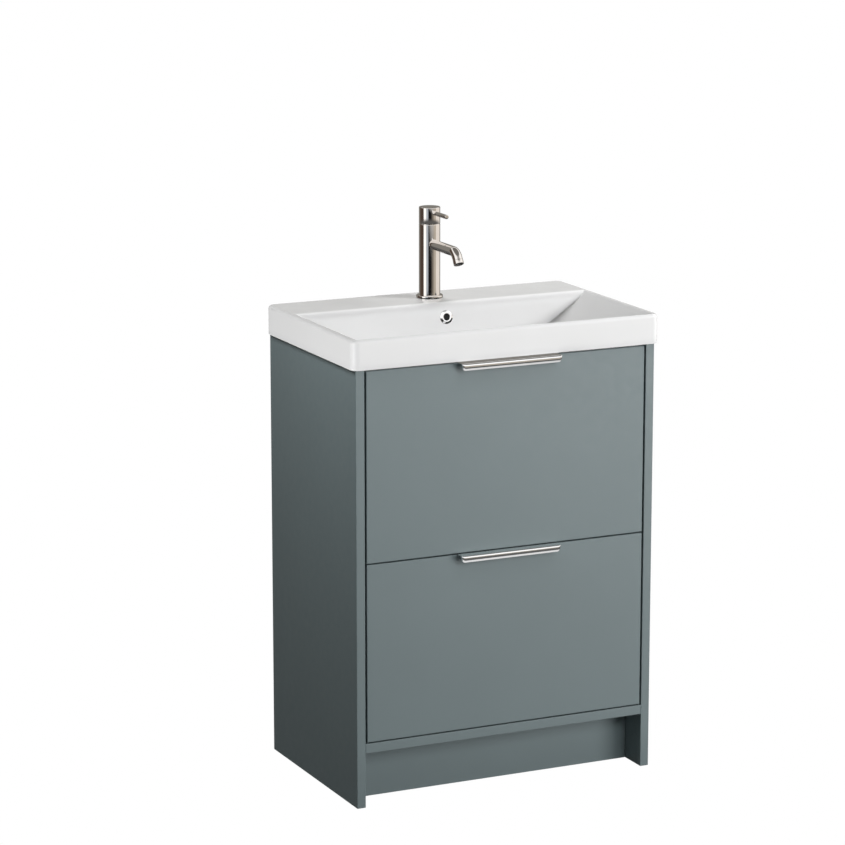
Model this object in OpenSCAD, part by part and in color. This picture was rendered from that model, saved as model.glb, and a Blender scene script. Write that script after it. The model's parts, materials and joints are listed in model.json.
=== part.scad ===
// Bathroom vanity cabinet: two drawers, a ceramic basin top and a mixer tap.
// Millimetres, +Z up, front towards -Y, origin on the floor under the centre.

/* [Cabinet] */
// Width over the side panels
cabinet_w = 600; // [560:10:700]
// Depth of the side panels
cabinet_d = 390; // [380:2:400]
// Height of the side panels, which carry the basin
cabinet_h = 810; // [800:5:830]
// Thickness of the side panels
side_t = 17; // [15:1:19]
// Thickness of the inner boards
board_t = 16; // [15:1:18]
// Height of the underside of the base panel above the floor
plinth_h = 102.5; // [90:0.5:104]
// Distance from the front down to the plinth panel
plinth_setback = 60; // [40:5:80]

/* [Drawers] */
// Thickness of a drawer front
front_t = 18; // [16:1:18]
// Width of the gaps round a drawer front
front_gap = 2.2; // [2:0.1:4]
// Height of a drawer box
box_h = 190; // [150:5:200]
// Length of a drawer box behind its front
box_d = 320; // [310:5:320]
// Thickness of the drawer box walls
box_t = 15; // [12:1:16]
// Width of the cut-out in the upper drawer, which clears the trap
cutout_w = 180; // [150:5:220]

/* [Handles] */
// Length of a handle
handle_l = 200; // [120:5:240]
// Distance that a handle stands out from the drawer front
handle_reach = 21; // [16:0.5:24]
// Height of the lip of a handle
handle_lip_h = 12.5; // [10:0.5:16]

/* [Basin] */
// Height of the basin rim above the side panels
basin_h = 55; // [50:1:60]
// Wall thickness of the ceramic
ceramic_t = 10; // [9:0.5:11]
// Overhang of the basin at each side
basin_side_lap = 7.5; // [1:0.5:10]
// Overhang of the basin at the front
basin_front_lap = 7; // [3:0.5:10]

/* [Tap] */
// Radius of the tap body
tap_r = 20; // [19:0.5:22]
// Height of the lower edge of the cap above the basin
tap_joint_h = 140; // [130:1:150]
// Height of the cap
cap_h = 31; // [28:0.5:34]
// Distance from the axis of the tap to the tip of its lever
lever_reach = 74.5; // [60:0.5:90]
// Radius of the spout tube
spout_r = 8.75; // [8:0.25:9]
// Angle of the bend at the end of the spout
spout_bend = 50; // [40:1:60]

/* [Hidden] */
$fn = 64;
eps = 1;                                     // extra length of a cutting tool

// Frame: the handles count in the depth, so the cabinet sits a little to the back
back_y = (cabinet_d + handle_reach) / 2;
front_y = back_y - cabinet_d;
side_x = cabinet_w / 2;
inner_x = side_x - side_t;
base_top = plinth_h + board_t + 2;
behind_front = front_y + front_t;

// Drawer fronts share the height between the base panel and the basin
front_clearance = 1.3;                       // extra gap at the sides and above the fronts
front_side_gap = front_gap + front_clearance;
front_w = 2 * (inner_x - front_side_gap);
lower_front_z = base_top + front_gap;
upper_front_top = cabinet_h - front_gap - front_clearance;
lower_front_h = (upper_front_top - lower_front_z - front_gap) / 2 - 10;
upper_front_z = lower_front_z + lower_front_h + front_gap;
upper_front_h = upper_front_top - upper_front_z;
arris_r = 1.5;                               // rounding of the long edges of a front

// Runners: cabinet member, middle member and drawer member on each side
runner_space = 12.7;
runner_l = 300;
runner_y = behind_front + 6.5;
steel_t = 1.2;
cabinet_member_h = 45;
middle_member_h = 38.4;
drawer_member_h = 30.6;
box_x = inner_x - runner_space;
lower_box_z = base_top + 19.5;
upper_box_z = upper_front_z + 18.5;
runner_rise = 50;                            // height of the runner's centre in the box

// Drawer box
bottom_t = 8;
groove_d = 5;
bottom_rise = 8;
cutout_x = cutout_w / 2;
cutout_front_y = behind_front + 81.5;
box_back_y = behind_front + box_d;

// Handle
handle_x = handle_l / 2;
handle_front_y = front_y - handle_reach;
handle_plate_t = 1.5;
handle_lip_t = 3;
handle_corner_r = 5;                         // must stay under the height of the lip
handle_flange_t = 1.5;
handle_flange_h = 26;
handle_screw_x = handle_l * 0.35;

// Basin
basin_x = side_x + basin_side_lap;
basin_front_y = front_y - basin_front_lap;
rim_z = cabinet_h + basin_h;
basin_corner_r = 15;
rim_w = 9;
deck_front_y = back_y - 129;
deck_t = 17;
floor_z = cabinet_h - 40;
waste_y = -45;
waste_hole_r = 22.5;
boss_r = 36;
boss_h = 28;
tap_y = 145;
tap_hole_r = 17.5;
overflow_z = rim_z - 26;
overflow_r = 7.5;
back_wall_lean = 10.1;                       // lean of the bowl's back wall from upright
overflow_y = deck_front_y - 5;

// Waste and trap
flange_r = 32;
waste_tube_r = 21.9;
waste_bore_r = 18;
waste_end_z = floor_z - 80;
plug_stem_r = 4;
running_gap = 0.05;
trap_head_r = 30;
trap_head_top = waste_end_z - 12;
trap_head_h = 80;
trap_wall = 3;
trap_outlet_r = 16;
collar_l = 20;
trap_outlet_z = waste_end_z - 40;
trap_cup_r = 33;
trap_cup_h = 48;

// Tap
joint_z = rim_z + tap_joint_h;
joint_gap = 0.8;
cap_top = joint_z + joint_gap / 2 + cap_h;
cap_bore_r = 15;
cap_roof = 15.4;
lever_r = 4;
lever_z = cap_top - 9.4;
lever_grip = 8;
spout_z = rim_z + 101;
spout_bore_r = 6.5;
spout_bend_r = 24;
spout_reach = 97.5;
spout_end_l = 9;
solder_gap = 0.01;
aerator_r = 9.5;
aerator_l = 8;
cartridge_r = 17.6;
cartridge_bore_r = 17.75;
cartridge_h = 46;
stud_r = 3.9;

module board(x, y, z) {
    // A board between the low and high limits given for each direction
    translate([x[0], y[0], z[0]]) cube([x[1] - x[0], y[1] - y[0], z[1] - z[0]]);
}

module lengthwise(x0, x1) {
    // Takes an outline drawn as [y, z] and runs it along X
    translate([x0, 0, 0]) rotate([90, 0, 90]) linear_extrude(x1 - x0) children();
}

module crosswise(y0, y1) {
    // Takes an outline drawn as [x, z] and runs it along Y
    translate([0, y1, 0]) rotate([90, 0, 0]) linear_extrude(y1 - y0) children();
}

module both_sides() {
    children();
    mirror([1, 0, 0]) children();
}

module at_back(x, y, z) {
    // A round thing that points to the back
    translate([x, y, z]) rotate([-90, 0, 0]) children();
}

// ---- Carcass ----

module side_panel() {
    color("slategray") board([inner_x, side_x], [front_y, back_y], [0, cabinet_h]);
}

module side_panel_left() { mirror([1, 0, 0]) side_panel(); }
module side_panel_right() { side_panel(); }

module base_panel() {
    color("slategray") board([-inner_x, inner_x], [front_y, back_y], [plinth_h, base_top]);
}

module plinth_panel() {
    plinth_y = front_y + plinth_setback;
    color("slategray") board([-inner_x, inner_x], [plinth_y, plinth_y + board_t], [0, plinth_h]);
}

module top_front_rail() {
    rail_y = behind_front + 4.5;
    color("whitesmoke")
        board([-inner_x, inner_x], [rail_y, rail_y + board_t], [cabinet_h - 75, cabinet_h]);
}

module mid_rail() {
    rail_y = behind_front + 6.5;
    rail_z = upper_front_z - 9.5;
    color("whitesmoke") board([-inner_x, inner_x], [rail_y, rail_y + 80], [rail_z, rail_z + board_t]);
}

wall_screw_x = 230;
wall_screw_r = 4;
wall_screw_z = cabinet_h - 50;

module top_back_rail() {
    color("whitesmoke") difference() {
        board([-inner_x, inner_x], [back_y - board_t, back_y], [cabinet_h - 120, cabinet_h]);
        both_sides() at_back(wall_screw_x, back_y - board_t - eps, wall_screw_z)
            cylinder(h = board_t + 2 * eps, r = wall_screw_r);
    }
}

module bottom_back_rail() {
    color("whitesmoke")
        board([-inner_x, inner_x], [back_y - board_t, back_y], [base_top, base_top + 100]);
}

bracket_l = 40;
bracket_t = 2;

module bracket(y, z, up) {
    // An angle that ties a board to the right side panel; up is 1 above the board, -1 below
    translate([inner_x, y, z]) mirror([0, 0, up < 0 ? 1 : 0]) difference() {
        union() {
            translate([-bracket_t, 0, 0]) cube([bracket_t, 25, bracket_l]);
            translate([-bracket_l, 0, 0]) cube([bracket_l, 25, bracket_t]);
        }
        translate([-bracket_l / 2, 12.5, -eps]) cylinder(h = bracket_t + 2 * eps, r = 2.5);
        translate([-bracket_t - eps, 12.5, bracket_l / 2]) rotate([0, 90, 0])
            cylinder(h = bracket_t + 2 * eps, r = 2.5);
    }
}

module corner_brackets() {
    color("silver") both_sides() {
        bracket(front_y + plinth_setback + board_t + 30, plinth_h, -1);
        bracket(back_y - board_t - 60, plinth_h, -1);
    }
}

// ---- Runners, drawn for the right side ----

module cabinet_runner(z) {
    half_h = cabinet_member_h / 2;
    color("silver") lay_runner(z) difference() {
        translate([box_x + 2.2, -half_h]) square([runner_space - 2.2, cabinet_member_h]);
        translate([box_x + 2.2 - eps, -half_h + steel_t])
            square([runner_space - 2.2 - steel_t + eps, cabinet_member_h - 2 * steel_t]);
    }
}

module middle_runner(z) {
    half_h = middle_member_h / 2;
    color("silver") lay_runner(z) difference() {
        translate([box_x + 2.2, -half_h]) square([8.3, middle_member_h]);
        translate([box_x + 2.2 - eps, -half_h + steel_t])
            square([8.3 - steel_t + eps, middle_member_h - 2 * steel_t]);
    }
}

module drawer_runner(z) {
    half_h = drawer_member_h / 2;
    color("silver") lay_runner(z) difference() {
        translate([box_x, -half_h]) square([8.3, drawer_member_h]);
        translate([box_x + steel_t, -half_h + steel_t])
            square([8.3 - steel_t + eps, drawer_member_h - 2 * steel_t]);
    }
}

module lay_runner(z) {
    translate([0, 0, z]) crosswise(runner_y, runner_y + runner_l) children();
}

lower_runner_z = lower_box_z + runner_rise;
upper_runner_z = upper_box_z + runner_rise;

module lower_cabinet_runner_left() { mirror([1, 0, 0]) cabinet_runner(lower_runner_z); }
module lower_cabinet_runner_right() { cabinet_runner(lower_runner_z); }
module lower_middle_runner_left() { mirror([1, 0, 0]) middle_runner(lower_runner_z); }
module lower_middle_runner_right() { middle_runner(lower_runner_z); }
module lower_drawer_runner_left() { mirror([1, 0, 0]) drawer_runner(lower_runner_z); }
module lower_drawer_runner_right() { drawer_runner(lower_runner_z); }
module upper_cabinet_runner_left() { mirror([1, 0, 0]) cabinet_runner(upper_runner_z); }
module upper_cabinet_runner_right() { cabinet_runner(upper_runner_z); }
module upper_middle_runner_left() { mirror([1, 0, 0]) middle_runner(upper_runner_z); }
module upper_middle_runner_right() { middle_runner(upper_runner_z); }
module upper_drawer_runner_left() { mirror([1, 0, 0]) drawer_runner(upper_runner_z); }
module upper_drawer_runner_right() { drawer_runner(upper_runner_z); }

// ---- Drawer fronts, boxes and handles ----

module drawer_front(z, h) {
    // The long front edges are rounded; the back stays square
    color("slategray") lengthwise(-front_w / 2, front_w / 2) union() {
        translate([front_y + arris_r, z]) square([front_t - arris_r, h]);
        translate([front_y, z + arris_r]) square([arris_r, h - 2 * arris_r]);
        translate([front_y + arris_r, z + arris_r]) circle(r = arris_r);
        translate([front_y + arris_r, z + h - arris_r]) circle(r = arris_r);
    }
}

module box_side(z) {
    color("whitesmoke") difference() {
        board([box_x - box_t, box_x], [behind_front, box_back_y], [z, z + box_h]);
        board([box_x - box_t - eps, box_x - box_t + groove_d],
              [behind_front - eps, box_back_y + eps],
              [z + bottom_rise, z + bottom_rise + bottom_t]);
    }
}

module box_front(z) {
    inside = box_x - box_t;
    color("whitesmoke") board([-inside, inside], [behind_front, behind_front + box_t],
                              [z + bottom_rise + bottom_t, z + box_h]);
}

module box_back(x0, x1, z) {
    color("whitesmoke") board([x0, x1], [box_back_y - box_t, box_back_y],
                              [z + bottom_rise + bottom_t, z + box_h]);
}

module box_bottom(z, cut) {
    half_w = box_x - box_t + groove_d;
    color("gainsboro") difference() {
        board([-half_w, half_w], [behind_front, box_back_y],
              [z + bottom_rise, z + bottom_rise + bottom_t]);
        if (cut) board([-cutout_x, cutout_x], [cutout_front_y, box_back_y + eps],
                       [z, z + box_h]);
    }
}

module lip_outline(top_z) {
    // Front view of the lip as [x, z]; its lower corners are round
    low_z = top_z - handle_lip_h;
    union() {
        translate([-handle_x, low_z + handle_corner_r])
            square([handle_l, handle_lip_h - handle_corner_r]);
        translate([-handle_x + handle_corner_r, low_z])
            square([handle_l - 2 * handle_corner_r, handle_corner_r]);
        both_sides() translate([handle_x - handle_corner_r, low_z + handle_corner_r])
            circle(r = handle_corner_r);
    }
}

module handle(front_top) {
    // A plate over the top edge, a lip in front and a screw flange behind the front
    top_z = front_top + handle_plate_t;
    ends = [-handle_x, handle_x];
    color("gainsboro") difference() {
        union() {
            crosswise(handle_front_y, handle_front_y + handle_lip_t) lip_outline(top_z);
            board(ends, [handle_front_y + handle_lip_t, behind_front + handle_flange_t],
                  [front_top, top_z]);
            board(ends, [behind_front, behind_front + handle_flange_t],
                  [front_top - handle_flange_h, top_z]);
        }
        for (x = [-handle_screw_x, 0, handle_screw_x])
            at_back(x, behind_front - eps, front_top - handle_flange_h / 2)
                cylinder(h = handle_flange_t + 2 * eps, r = 2.2);
    }
}

module pan_screw(x, y, z, head_r, head_h) {
    // A screw head on a surface that faces the back
    at_back(x, y, z) cylinder(h = head_h, r = head_r);
}

module drawer_screws(z, front_top) {
    color("silver") {
        for (x = [-handle_screw_x, 0, handle_screw_x])
            pan_screw(x, behind_front + handle_flange_t, front_top - handle_flange_h / 2, 3.5, 1.8);
        for (x = [-200, 200], up = [60, 140])
            pan_screw(x, behind_front + box_t, z + up, 4, 2);
    }
}

lower_front_top = lower_front_z + lower_front_h;

module lower_front() { drawer_front(lower_front_z, lower_front_h); }
module lower_box_left() { mirror([1, 0, 0]) box_side(lower_box_z); }
module lower_box_right() { box_side(lower_box_z); }
module lower_box_front() { box_front(lower_box_z); }
module lower_box_back() { box_back(-box_x + box_t, box_x - box_t, lower_box_z); }
module lower_box_bottom() { box_bottom(lower_box_z, false); }
module lower_handle() { handle(lower_front_top); }
module lower_screws() { drawer_screws(lower_box_z, lower_front_top); }

module upper_front() { drawer_front(upper_front_z, upper_front_h); }
module upper_box_left() { mirror([1, 0, 0]) box_side(upper_box_z); }
module upper_box_right() { box_side(upper_box_z); }
module upper_box_front() { box_front(upper_box_z); }
module upper_box_back_left() { mirror([1, 0, 0]) upper_box_back_right(); }
module upper_box_back_right() { box_back(cutout_x + box_t, box_x - box_t, upper_box_z); }
module upper_box_bottom() { box_bottom(upper_box_z, true); }
module upper_handle() { handle(upper_front_top); }
module upper_screws() { drawer_screws(upper_box_z, upper_front_top); }

module cutout_wall(x, y) {
    color("whitesmoke") board(x, y, [upper_box_z + bottom_rise + bottom_t, upper_box_z + box_h]);
}

module cutout_wall_front() {
    cutout_wall([-cutout_x, cutout_x], [cutout_front_y - box_t, cutout_front_y]);
}

module cutout_wall_left() { mirror([1, 0, 0]) cutout_wall_right(); }

module cutout_wall_right() {
    cutout_wall([cutout_x, cutout_x + box_t], [cutout_front_y - box_t, box_back_y]);
}

// ---- Basin ----

// Half outlines of the bowl as [distance, height]; the floor is flat round the waste
bowl_side_in = [[46, floor_z], [155, floor_z + 5], [210, floor_z + 41], [basin_x - rim_w, rim_z]];
bowl_side_out = [[46, floor_z - 10], [160, floor_z - 5], [216, floor_z + 31], [basin_x - 8, rim_z - 12]];
bowl_front = basin_front_y + rim_w;
bowl_length_in = [
    [bowl_front, rim_z], [bowl_front + 49.5, rim_z - 53], [bowl_front + 74.5, floor_z + 9],
    [waste_y - 46, floor_z], [waste_y + 46, floor_z], [deck_front_y - 27, floor_z + 3],
    [deck_front_y - 14.5, floor_z + 15], [deck_front_y - 1.5, rim_z - 7], [deck_front_y + 3, rim_z]
];
bowl_length_out = [
    [bowl_front - 6, rim_z - 10], [bowl_front + 41, rim_z - 60], [bowl_front + 68, floor_z - 2],
    [waste_y - 50, floor_z - 10], [waste_y + 50, floor_z - 10], [deck_front_y - 22, floor_z - 8],
    [deck_front_y - 4, floor_z + 8], [deck_front_y + 9.5, rim_z - 7], [deck_front_y + 9.5, rim_z]
];

module bowl_space(side, length, top_z) {
    // What lies above both outlines, up to a level
    over = side[len(side) - 1][0];
    intersection() {
        crosswise(-cabinet_d, cabinet_d) union() {
            both_sides() polygon(concat([[0, top_z], [0, side[0][1]]], side, [[over, top_z]]));
        }
        lengthwise(-cabinet_w, cabinet_w)
            polygon(concat(length, [[length[len(length) - 1][0], top_z], [length[0][0], top_z]]));
    }
}

module basin_outline(inset) {
    // Plan of the basin: round corners at the front and the back
    r = basin_corner_r - inset;
    x = basin_x - inset;
    y0 = basin_front_y + inset;
    y1 = back_y - inset;
    union() {
        translate([-x, y0 + r]) square([2 * x, y1 - y0 - 2 * r]);
        translate([-x + r, y0]) square([2 * (x - r), y1 - y0]);
        for (cx = [-x + r, x - r], cy = [y0 + r, y1 - r]) translate([cx, cy]) circle(r = r);
    }
}

module overflow_tool(r, depth) {
    // A round cutter that stands square to the bowl's back wall
    translate([0, overflow_y, overflow_z]) rotate([-90 - back_wall_lean, 0, 0])
        translate([0, 0, -4]) cylinder(h = depth + 4, r = r);
}

module basin() {
    color("white") difference() {
        union() {
            translate([0, 0, cabinet_h]) linear_extrude(basin_h) difference() {
                basin_outline(0);
                basin_outline(ceramic_t);
            }
            intersection() {
                translate([0, 0, rim_z - deck_t]) linear_extrude(deck_t) basin_outline(ceramic_t - 1);
                board([-basin_x, basin_x], [deck_front_y, back_y], [0, rim_z]);
            }
            intersection() {
                bowl_space(bowl_side_out, bowl_length_out, rim_z);
                translate([0, 0, floor_z - boss_h]) linear_extrude(rim_z) basin_outline(1);
                board([-basin_x, basin_x], [basin_front_y, back_y], [floor_z - boss_h, rim_z]);
            }
            translate([0, waste_y, floor_z - boss_h]) cylinder(h = boss_h - 4, r = boss_r);
        }
        bowl_space(bowl_side_in, bowl_length_in, rim_z + eps);
        translate([0, waste_y, floor_z - boss_h - eps])
            cylinder(h = boss_h + 3 * eps, r = waste_hole_r);
        translate([0, tap_y, rim_z - deck_t - eps]) cylinder(h = deck_t + 2 * eps, r = tap_hole_r);
        overflow_tool(overflow_r, 20);
    }
}

module overflow_ring() {
    // A thin bezel that lines the overflow hole
    color("gainsboro") difference() {
        translate([0, overflow_y, overflow_z]) rotate([-90 - back_wall_lean, 0, 0]) union() {
            translate([0, 0, -1.7]) cylinder(h = 1.7, r = 12.8);
            translate([0, 0, -0.1]) cylinder(h = 10, r = overflow_r - 0.1);
        }
        overflow_tool(overflow_r - 1.2, 20);
    }
}

// ---- Waste and trap ----

module ring(z, h, r, bore) {
    translate([0, waste_y, z]) difference() {
        cylinder(h = h, r = r);
        translate([0, 0, -eps]) cylinder(h = h + 2 * eps, r = bore);
    }
}

module waste_flange() {
    color("gainsboro") ring(floor_z, 3, flange_r, waste_bore_r);
}

module waste_body() {
    // A tube with a cross bar that guides the stem of the plug
    web_z = floor_z - 30;
    color("silver") difference() {
        union() {
            ring(waste_end_z, floor_z - waste_end_z, waste_tube_r, waste_bore_r);
            intersection() {
                board([-waste_tube_r, waste_tube_r], [waste_y - 6.5, waste_y + 6.5], [web_z, web_z + 6]);
                translate([0, waste_y, web_z]) cylinder(h = 6, r = waste_tube_r - 1);
            }
        }
        translate([0, waste_y, web_z - eps])
            cylinder(h = 6 + 2 * eps, r = plug_stem_r + running_gap);
    }
}

module waste_nut() {
    color("whitesmoke") difference() {
        translate([0, waste_y, floor_z - boss_h - 14]) union() {
            cylinder(h = 12, r = 33, $fn = 6);
            translate([0, 0, 12]) cylinder(h = 2, r = 30);
        }
        translate([0, waste_y, floor_z - boss_h - 15]) cylinder(h = 16 + eps, r = waste_tube_r);
    }
}

module waste_plug() {
    // A low dome on a stem, resting just above the flange
    plug_z = floor_z + 3.3;
    color("gainsboro") translate([0, waste_y, 0]) union() {
        translate([0, 0, plug_z]) cylinder(h = 2, r = 30);
        translate([0, 0, plug_z + 2]) cylinder(h = 2.2, r1 = 30, r2 = 22);
        translate([0, 0, floor_z - 40]) cylinder(h = plug_z - floor_z + 40 + 0.5, r = plug_stem_r);
    }
}

module trap_body() {
    // Bottle trap: a collar round the waste tube, a closed head and a dip tube inside it
    head_z = trap_head_top - trap_head_h;
    dip_r = 14;
    color("whitesmoke") difference() {
        translate([0, waste_y, 0]) union() {
            translate([0, 0, trap_head_top]) cylinder(h = 24, r = 27);
            translate([0, 0, head_z]) difference() {
                cylinder(h = trap_head_h, r = trap_head_r);
                translate([0, 0, -eps]) cylinder(h = trap_head_h - 4 + eps, r = trap_head_r - trap_wall);
            }
            translate([0, 0, head_z + 10]) cylinder(h = trap_head_h - 12, r = dip_r);
        }
        translate([0, waste_y, head_z]) cylinder(h = trap_head_h, r = dip_r - 2);
        translate([0, waste_y, trap_head_top + 2]) cylinder(h = 22 + eps, r = waste_tube_r);
        translate([0, waste_y, trap_head_top - eps]) cylinder(h = 5, r = dip_r - 2);
        at_back(0, waste_y + dip_r + 4, trap_outlet_z) cylinder(h = trap_head_r, r = trap_outlet_r);
    }
}

module trap_cup() {
    // The cup screws on from below; its grip rings the open end of the head
    cup_z = trap_head_top - trap_head_h - trap_cup_h + 16;
    color("whitesmoke") translate([0, waste_y, cup_z]) difference() {
        union() {
            cylinder(h = trap_cup_h - 18, r = trap_head_r - 2);
            translate([0, 0, trap_cup_h - 18]) cylinder(h = 18, r = trap_cup_r);
        }
        translate([0, 0, 4]) cylinder(h = trap_cup_h, r = trap_head_r - 5);
        translate([0, 0, trap_cup_h - 16]) cylinder(h = 16 + eps, r = trap_head_r);
    }
}

module trap_outlet() {
    // The pipe enters the head through a collar and ends free near the wall
    outlet_end_y = back_y - 8;
    start_y = waste_y + trap_head_r - trap_wall;
    collar_y = waste_y + trap_head_r + 3;
    color("whitesmoke") difference() {
        union() {
            at_back(0, start_y, trap_outlet_z)
                cylinder(h = collar_y - start_y, r = trap_outlet_r - running_gap);
            at_back(0, collar_y, trap_outlet_z) cylinder(h = collar_l, r = trap_outlet_r + 5);
            at_back(0, collar_y + collar_l, trap_outlet_z)
                cylinder(h = outlet_end_y - collar_y - collar_l, r = trap_outlet_r);
        }
        at_back(0, start_y - eps, trap_outlet_z)
            cylinder(h = outlet_end_y - start_y + 2 * eps, r = trap_outlet_r - 2);
        translate([0, waste_y, trap_outlet_z - 20]) cylinder(h = 40, r = trap_head_r - trap_wall);
    }
}

// ---- Tap ----

module tap_base() {
    color("tan") translate([0, tap_y, rim_z]) difference() {
        cylinder(h = 5, r = tap_r + 5);
        translate([0, 0, -eps]) cylinder(h = 5 + 2 * eps, r = tap_r);
    }
}

module tap_body() {
    top_z = joint_z - joint_gap / 2;
    color("tan") difference() {
        translate([0, tap_y, rim_z]) cylinder(h = top_z - rim_z, r = tap_r);
        translate([0, tap_y, top_z - cartridge_h]) cylinder(h = cartridge_h + eps, r = cartridge_bore_r);
        translate([0, tap_y, rim_z - eps]) cylinder(h = 15 + eps, r = stud_r);
        both_sides() translate([9.5, tap_y, rim_z - eps]) cylinder(h = 40, r = 4);
        at_back(0, tap_y - tap_r - eps, spout_z) cylinder(h = tap_r, r = spout_bore_r);
    }
}

module spout_tip() {
    // Places its children at the end of the bend, pointing out of the spout
    translate([0, tap_y - spout_reach, spout_z - spout_bend_r]) rotate([spout_bend, 0, 0])
        translate([0, 0, spout_bend_r]) rotate([90, 0, 0]) children();
}

module tube(h, r, bore) {
    difference() {
        cylinder(h = h, r = r);
        translate([0, 0, -eps]) cylinder(h = h + 2 * eps, r = bore);
    }
}

module tap_spout() {
    // A straight tube cut to the round body, a bend and a short end, soldered at hair-thin joints
    color("tan") union() {
        difference() {
            translate([0, tap_y, spout_z]) rotate([90, 0, 0])
                tube(spout_reach - solder_gap, spout_r, spout_bore_r);
            translate([0, tap_y, rim_z]) cylinder(h = tap_joint_h, r = tap_r);
        }
        difference() {
            spout_elbow(spout_r);
            spout_elbow(spout_bore_r);
        }
        spout_tip() translate([0, 0, solder_gap])
            tube(spout_end_l - solder_gap, spout_r, spout_bore_r);
    }
}

module spout_elbow(r) {
    translate([0, tap_y - spout_reach, spout_z - spout_bend_r])
        rotate([0, 0, 180]) rotate([0, -90, 0]) rotate_extrude(angle = spout_bend)
        translate([spout_bend_r, 0]) circle(r = r);
}

module tap_aerator() {
    // A collar with a recessed perforated disc
    color("tan") spout_tip() translate([0, 0, spout_end_l]) difference() {
        cylinder(h = aerator_l, r = aerator_r);
        translate([0, 0, -eps]) cylinder(h = 4 + eps, r = spout_bore_r);
        translate([0, 0, aerator_l - 1.5]) cylinder(h = 1.5 + eps, r = aerator_r - 1.5);
        for (a = [0 : 60 : 300]) rotate([0, 0, a]) translate([4, 0, 3]) cylinder(h = 6, r = 0.9);
    }
}

module tap_cartridge() {
    top_z = joint_z - joint_gap / 2;
    color("gainsboro") translate([0, tap_y, top_z - cartridge_h]) difference() {
        cylinder(h = cartridge_h - 1.5, r = cartridge_r);
        translate([0, 0, cartridge_h - 20]) cylinder(h = 20, r = lever_r + running_gap);
    }
}

module tap_fixing() {
    // Threaded stud with a horseshoe washer and a nut under the deck
    under_z = rim_z - deck_t;
    color("silver") translate([0, tap_y, 0]) union() {
        translate([0, 0, under_z - 30]) cylinder(h = deck_t + 45, r = stud_r);
        translate([0, 0, under_z - 3]) difference() {
            cylinder(h = 3, r = 24);
            translate([10, -8, -eps]) cube([20, 16, 3 + 2 * eps]);
        }
        translate([0, 0, under_z - 10]) cylinder(h = 7, r = 7.5, $fn = 6);
    }
}

module tap_spindle() {
    top_z = joint_z - joint_gap / 2;
    color("gainsboro") translate([0, tap_y, top_z - 19]) cylinder(h = 31, r = lever_r);
}

module tap_cap() {
    color("silver") difference() {
        translate([0, tap_y, cap_top - cap_h]) cylinder(h = cap_h, r = tap_r);
        translate([0, tap_y, cap_top - cap_h - eps]) cylinder(h = cap_h - cap_roof + eps, r = cap_bore_r);
        at_back(0, tap_y - tap_r - eps, lever_z) cylinder(h = lever_grip + eps, r = lever_r);
    }
}

module tap_lever() {
    color("silver") at_back(0, tap_y - lever_reach, lever_z)
        cylinder(h = lever_reach - tap_r + lever_grip, r = lever_r);
}

side_panel_left();
side_panel_right();
base_panel();
plinth_panel();
top_front_rail();
mid_rail();
top_back_rail();
bottom_back_rail();
corner_brackets();
lower_cabinet_runner_left();
lower_cabinet_runner_right();
lower_middle_runner_left();
lower_middle_runner_right();
lower_drawer_runner_left();
lower_drawer_runner_right();
upper_cabinet_runner_left();
upper_cabinet_runner_right();
upper_middle_runner_left();
upper_middle_runner_right();
upper_drawer_runner_left();
upper_drawer_runner_right();
lower_front();
lower_box_left();
lower_box_right();
lower_box_front();
lower_box_back();
lower_box_bottom();
lower_handle();
lower_screws();
upper_front();
upper_box_left();
upper_box_right();
upper_box_front();
upper_box_back_left();
upper_box_back_right();
upper_box_bottom();
cutout_wall_front();
cutout_wall_left();
cutout_wall_right();
upper_handle();
upper_screws();
basin();
overflow_ring();
waste_flange();
waste_body();
waste_nut();
waste_plug();
trap_body();
trap_cup();
trap_outlet();
tap_base();
tap_body();
tap_spout();
tap_aerator();
tap_cartridge();
tap_fixing();
tap_spindle();
tap_cap();
tap_lever();
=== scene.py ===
import json
import math

import bmesh
import bpy
import numpy as np
from mathutils import Matrix, Vector

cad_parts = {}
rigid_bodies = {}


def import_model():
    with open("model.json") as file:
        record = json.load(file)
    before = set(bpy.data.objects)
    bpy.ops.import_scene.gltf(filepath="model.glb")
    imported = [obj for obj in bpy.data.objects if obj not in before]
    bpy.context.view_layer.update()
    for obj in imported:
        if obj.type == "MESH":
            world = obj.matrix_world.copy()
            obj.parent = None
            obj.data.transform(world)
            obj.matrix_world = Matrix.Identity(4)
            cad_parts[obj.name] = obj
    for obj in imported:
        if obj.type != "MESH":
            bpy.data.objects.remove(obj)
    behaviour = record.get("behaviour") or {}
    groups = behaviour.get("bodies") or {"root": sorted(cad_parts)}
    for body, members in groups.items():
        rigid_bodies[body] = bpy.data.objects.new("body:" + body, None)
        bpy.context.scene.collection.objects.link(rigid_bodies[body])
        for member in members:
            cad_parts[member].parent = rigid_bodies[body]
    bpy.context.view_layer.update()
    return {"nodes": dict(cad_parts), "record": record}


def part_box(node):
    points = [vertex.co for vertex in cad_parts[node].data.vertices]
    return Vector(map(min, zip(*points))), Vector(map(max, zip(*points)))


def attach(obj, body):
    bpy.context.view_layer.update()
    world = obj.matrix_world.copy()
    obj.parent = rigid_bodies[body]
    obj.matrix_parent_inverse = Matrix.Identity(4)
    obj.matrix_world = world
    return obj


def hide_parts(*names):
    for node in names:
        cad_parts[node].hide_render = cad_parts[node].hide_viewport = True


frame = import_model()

MM = 0.001
NODES = frame["nodes"]

# ---------------------------------------------------------------------------
# Camera
# ---------------------------------------------------------------------------

CAMERA_AT = (-2.6885, -5.5338, 2.0013)
CAMERA_TURN = 0.44006                        # radians to the right of +Y
CAMERA_DIP = 0.21588                         # radians below the horizon
CAMERA_LENS = 144.68


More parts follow.
